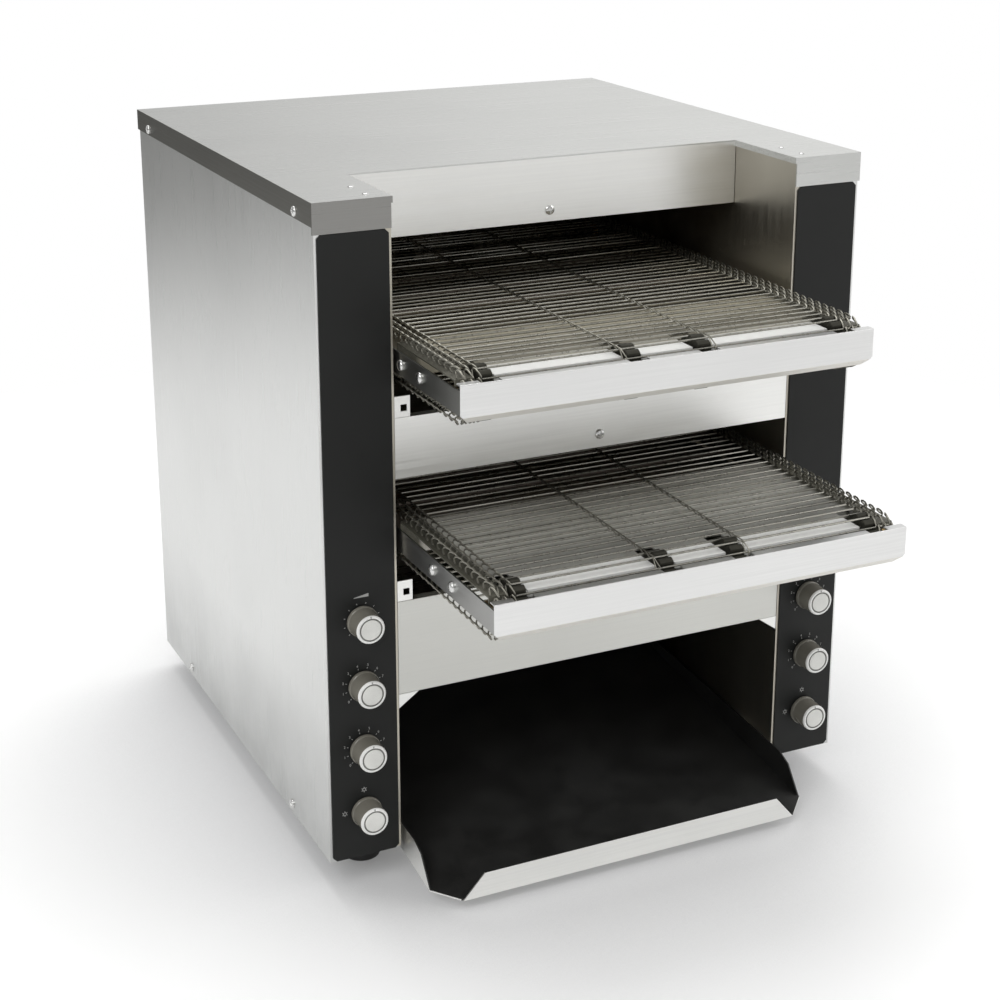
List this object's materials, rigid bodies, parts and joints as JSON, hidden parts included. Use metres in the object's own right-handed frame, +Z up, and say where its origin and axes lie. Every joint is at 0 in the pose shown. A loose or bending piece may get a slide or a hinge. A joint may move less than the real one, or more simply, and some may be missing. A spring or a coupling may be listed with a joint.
{
  "type": "conveyor toaster",
  "caption": "Counter-top conveyor toaster: wire belts carry bread past heater rods and drop it onto a discharge chute.",
  "frame": {"origin": "middle of the whole object's footprint, on the counter under the feet", "axes": "+Z up, +Y to the back, away from the side that is loaded, +X to the right seen from the front"},
  "size_m": [0.4744, 0.6456, 0.5549],
  "materials": {
    "black_panel": "matt black coated sheet",
    "bronze": "sintered bronze",
    "chain": "oiled chain steel",
    "chamber_steel": "stainless sheet lightly browned by heat",
    "chute": "black non-stick coating inside, bare stainless outside",
    "fan_plastic": "black moulded plastic",
    "foot_rubber": "black rubber",
    "gland": "black nylon",
    "heater": "dark metal-sheathed heater rod",
    "knob": "taupe moulded plastic, paler face",
    "motor": "grey enamel",
    "reflector": "bright reflector sheet",
    "screw": "bright zinc-plated steel",
    "shaft_steel": "ground steel bar",
    "side_steel": "brushed stainless sheet, brushed along the height",
    "stainless": "brushed stainless sheet",
    "switch": "black moulded plastic",
    "terminal": "cream moulded plastic",
    "tooth": "dark steel",
    "wire": "bright stainless wire"
  },
  "bodies": {
    "case": {"base_pan": "stainless", "case_screws": "screw", "fan_frame": "fan_plastic", "fascia_brackets": "stainless", "feet": "foot_rubber", "left_chamber_wall": "chamber_steel", "left_control_panel": "black_panel", "left_side_panel": "side_steel", "lower_bed": "stainless", "lower_belt": "wire", "lower_chain": "chain", "lower_elements": "heater", "lower_fascia": "stainless", "lower_gear_motor": "motor", "lower_guard": "stainless", "lower_left_rail": "stainless", "lower_right_rail": "stainless", "middle_fascia": "stainless", "power_gland": "gland", "rail_bolts": "screw", "rear_panel": "stainless", "rear_slide": "stainless", "reflectors": "reflector", "right_chamber_wall": "chamber_steel", "right_control_panel": "black_panel", "right_side_panel": "side_steel", "shaft_bushes": "bronze", "switches": "switch", "terminal_block": "terminal", "top_cover": "stainless", "upper_bed": "stainless", "upper_belt": "wire", "upper_chain": "chain", "upper_elements": "heater", "upper_fascia": "stainless", "upper_gear_motor": "motor", "upper_guard": "stainless", "upper_left_rail": "stainless", "upper_right_rail": "stainless"},
    "upper_front_axle": {"upper_front_shaft": "shaft_steel", "upper_front_sprockets": "tooth"},
    "upper_drive_axle": {"upper_drive_shaft": "shaft_steel", "upper_drive_sprockets": "tooth"},
    "upper_motor_axle": {"upper_motor_wheel": "tooth"},
    "lower_front_axle": {"lower_front_shaft": "shaft_steel", "lower_front_sprockets": "tooth"},
    "lower_drive_axle": {"lower_drive_shaft": "shaft_steel", "lower_drive_sprockets": "tooth"},
    "lower_motor_axle": {"lower_motor_wheel": "tooth"},
    "fan_rotor": {"fan_rotor": "fan_plastic"},
    "discharge_chute": {"discharge_chute": "chute"},
    "left_power_knob": {"left_power_knob": "knob"},
    "left_lower_heat_knob": {"left_lower_heat_knob": "knob"},
    "left_upper_heat_knob": {"left_upper_heat_knob": "knob"},
    "left_speed_knob": {"left_speed_knob": "knob"},
    "right_power_knob": {"right_power_knob": "knob"},
    "right_lower_heat_knob": {"right_lower_heat_knob": "knob"},
    "right_upper_heat_knob": {"right_upper_heat_knob": "knob"},
    "right_speed_knob": {"right_speed_knob": "knob"}
  },
  "joints": [
    {"name": "upper_drive_axle_turn", "type": "hinge", "parent": "case", "child": "upper_drive_axle", "pos_m": [0, 0.17577, 0.4284], "axis": [1, 0, 0], "continuous": true},
    {"name": "upper_front_axle_turn", "type": "hinge", "parent": "case", "child": "upper_front_axle", "pos_m": [0, -0.24423, 0.4284], "axis": [1, 0, 0], "continuous": true},
    {"name": "upper_motor_axle_turn", "type": "hinge", "parent": "case", "child": "upper_motor_axle", "pos_m": [0, 0.17577, 0.3522], "axis": [1, 0, 0], "continuous": true},
    {"name": "lower_drive_axle_turn", "type": "hinge", "parent": "case", "child": "lower_drive_axle", "pos_m": [0, 0.12127, 0.287], "axis": [1, 0, 0], "continuous": true},
    {"name": "lower_front_axle_turn", "type": "hinge", "parent": "case", "child": "lower_front_axle", "pos_m": [0, -0.29873, 0.287], "axis": [1, 0, 0], "continuous": true},
    {"name": "lower_motor_axle_turn", "type": "hinge", "parent": "case", "child": "lower_motor_axle", "pos_m": [0, 0.12127, 0.2108], "axis": [1, 0, 0], "continuous": true},
    {"name": "fan_turn", "type": "hinge", "parent": "case", "child": "fan_rotor", "pos_m": [0, 0.28675, 0.276], "axis": [0, 1, 0], "continuous": true},
    {"name": "chute_slide", "type": "slide", "parent": "case", "child": "discharge_chute", "axis": [0, -0.9912, -0.1323], "range_m": [0, 0.06]},
    {"name": "left_power_turn", "type": "hinge", "parent": "case", "child": "left_power_knob", "pos_m": [-0.2039, -0.15325, 0.066], "axis": [0, 1, 0], "range_deg": [-90, 0]},
    {"name": "left_lower_heat_turn", "type": "hinge", "parent": "case", "child": "left_lower_heat_knob", "pos_m": [-0.2039, -0.15325, 0.12], "axis": [0, 1, 0], "range_deg": [-135, 135]},
    {"name": "left_upper_heat_turn", "type": "hinge", "parent": "case", "child": "left_upper_heat_knob", "pos_m": [-0.2039, -0.15325, 0.174], "axis": [0, 1, 0], "range_deg": [-135, 135]},
    {"name": "left_speed_turn", "type": "hinge", "parent": "case", "child": "left_speed_knob", "pos_m": [-0.2039, -0.15325, 0.228], "axis": [0, 1, 0], "range_deg": [-135, 135]},
    {"name": "right_power_turn", "type": "hinge", "parent": "case", "child": "right_power_knob", "pos_m": [0.2039, -0.15325, 0.066], "axis": [0, 1, 0], "range_deg": [-90, 0]},
    {"name": "right_lower_heat_turn", "type": "hinge", "parent": "case", "child": "right_lower_heat_knob", "pos_m": [0.2039, -0.15325, 0.12], "axis": [0, 1, 0], "range_deg": [-135, 135]},
    {"name": "right_upper_heat_turn", "type": "hinge", "parent": "case", "child": "right_upper_heat_knob", "pos_m": [0.2039, -0.15325, 0.174], "axis": [0, 1, 0], "range_deg": [-135, 135]},
    {"name": "right_speed_turn", "type": "hinge", "parent": "case", "child": "right_speed_knob", "pos_m": [0.2039, -0.15325, 0.228], "axis": [0, 1, 0], "range_deg": [-135, 135]}
  ],
  "couplings": [
    {"joint": "upper_front_axle_turn", "follows": "upper_drive_axle_turn", "ratio": 1},
    {"joint": "upper_motor_axle_turn", "follows": "upper_drive_axle_turn", "ratio": 1},
    {"joint": "lower_front_axle_turn", "follows": "lower_drive_axle_turn", "ratio": 1},
    {"joint": "lower_motor_axle_turn", "follows": "lower_drive_axle_turn", "ratio": 1}
  ]
}
